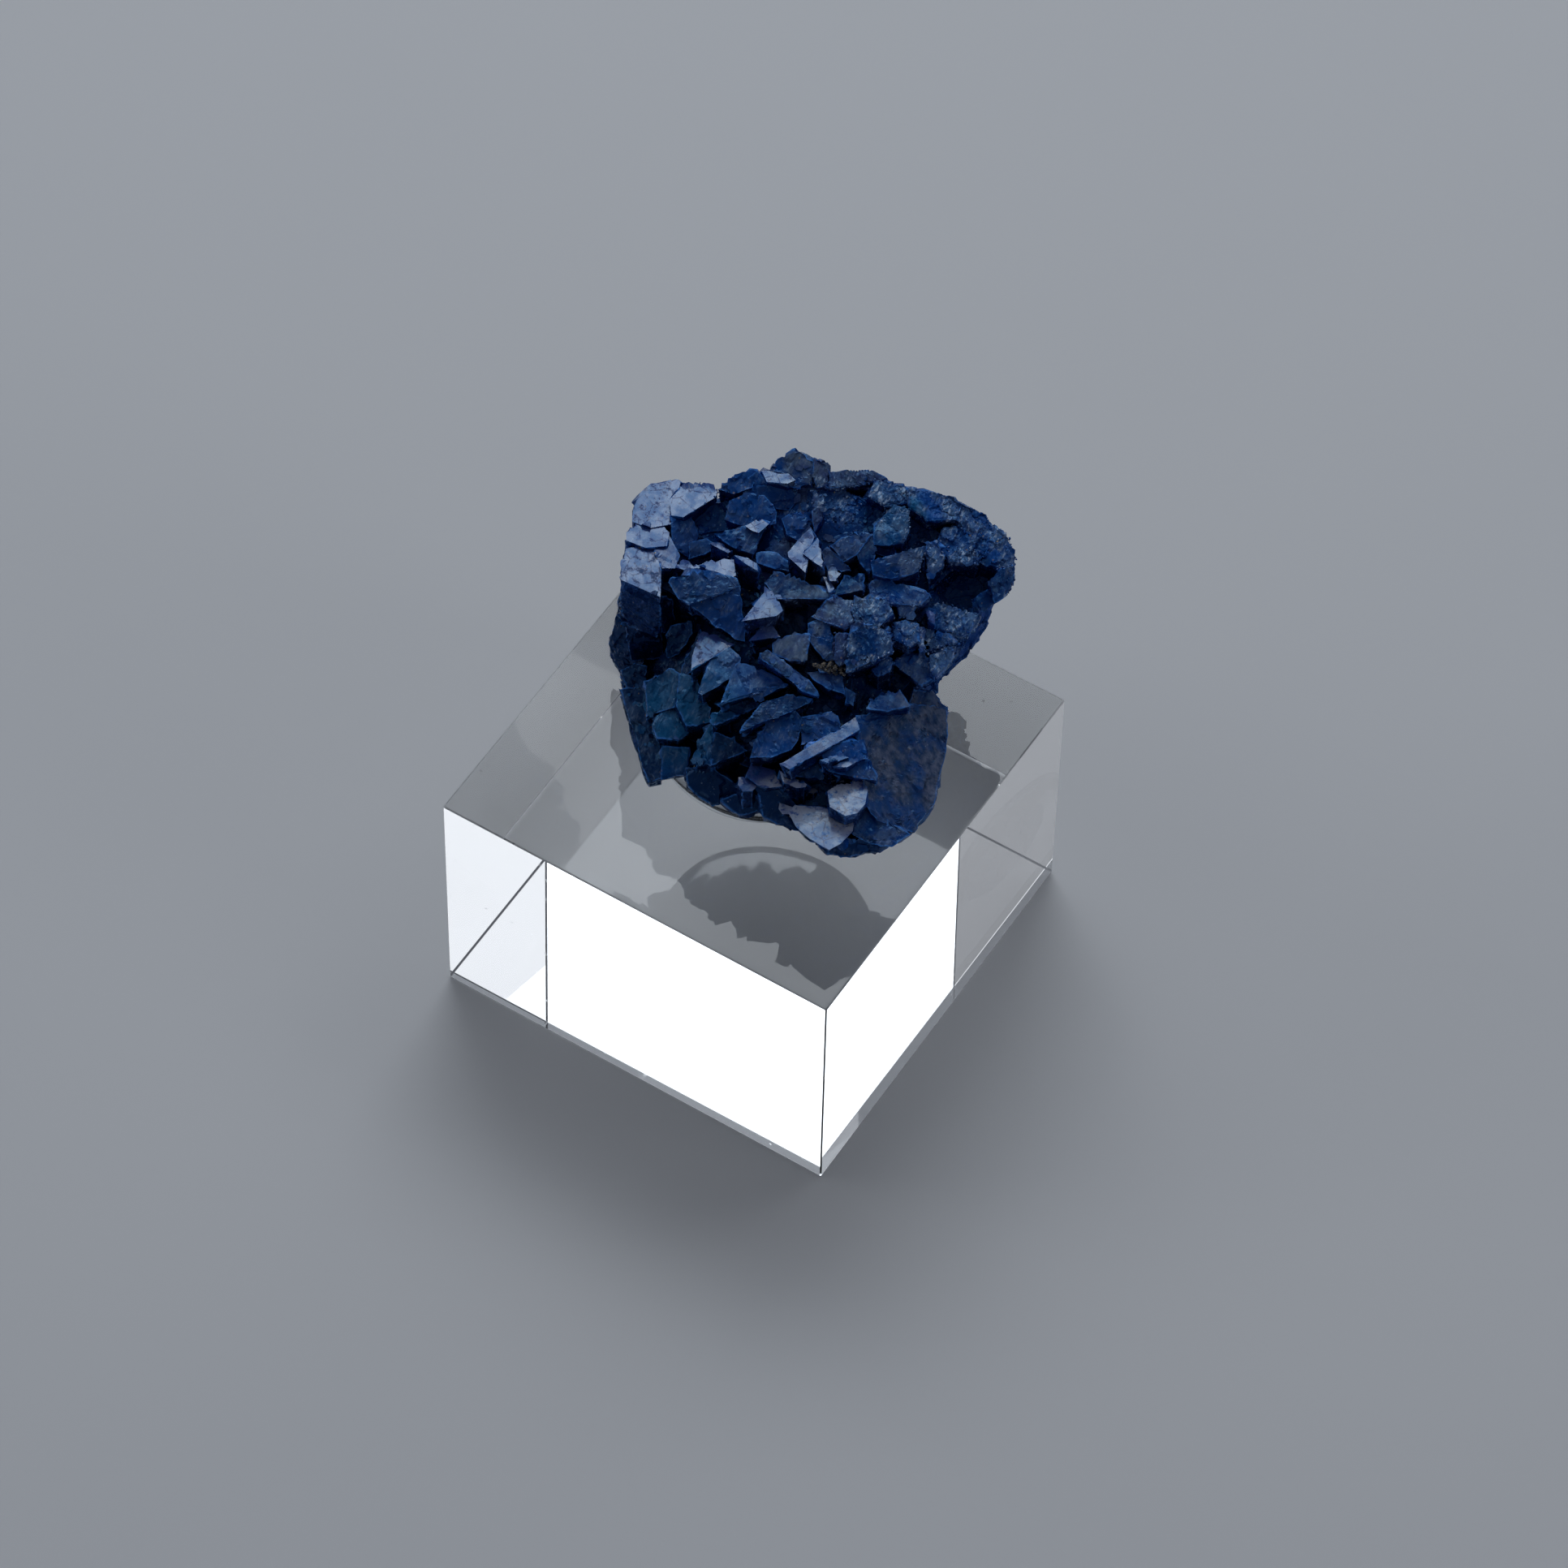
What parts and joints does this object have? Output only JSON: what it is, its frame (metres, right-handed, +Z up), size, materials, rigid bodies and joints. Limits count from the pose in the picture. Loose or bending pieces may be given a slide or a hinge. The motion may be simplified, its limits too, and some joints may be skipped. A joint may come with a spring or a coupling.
{
  "type": "mineral specimen on display block",
  "caption": "Cluster of intergrown dark blue azurite crystals fixed with a clear putty pad to the top of a clear square display block.",
  "frame": {"origin": "centre of the display block's underside", "axes": "+Z up, out of the block's top face; X and Y square to the block's sides; the cluster's display side faces between +X and -Y and up"},
  "size_m": [0.05, 0.05, 0.0631],
  "materials": {
    "azurite": "glassy, near-black blue crystal faces with fine growth lines and sugary drusy patches",
    "putty": "clear, softly glossy adhesive putty",
    "acrylic": "clear polished acrylic"
  },
  "bodies": {
    "root": {"azurite_cluster": "azurite", "clear_putty_pad": "putty", "acrylic_block": "acrylic"}
  },
  "joints": []
}
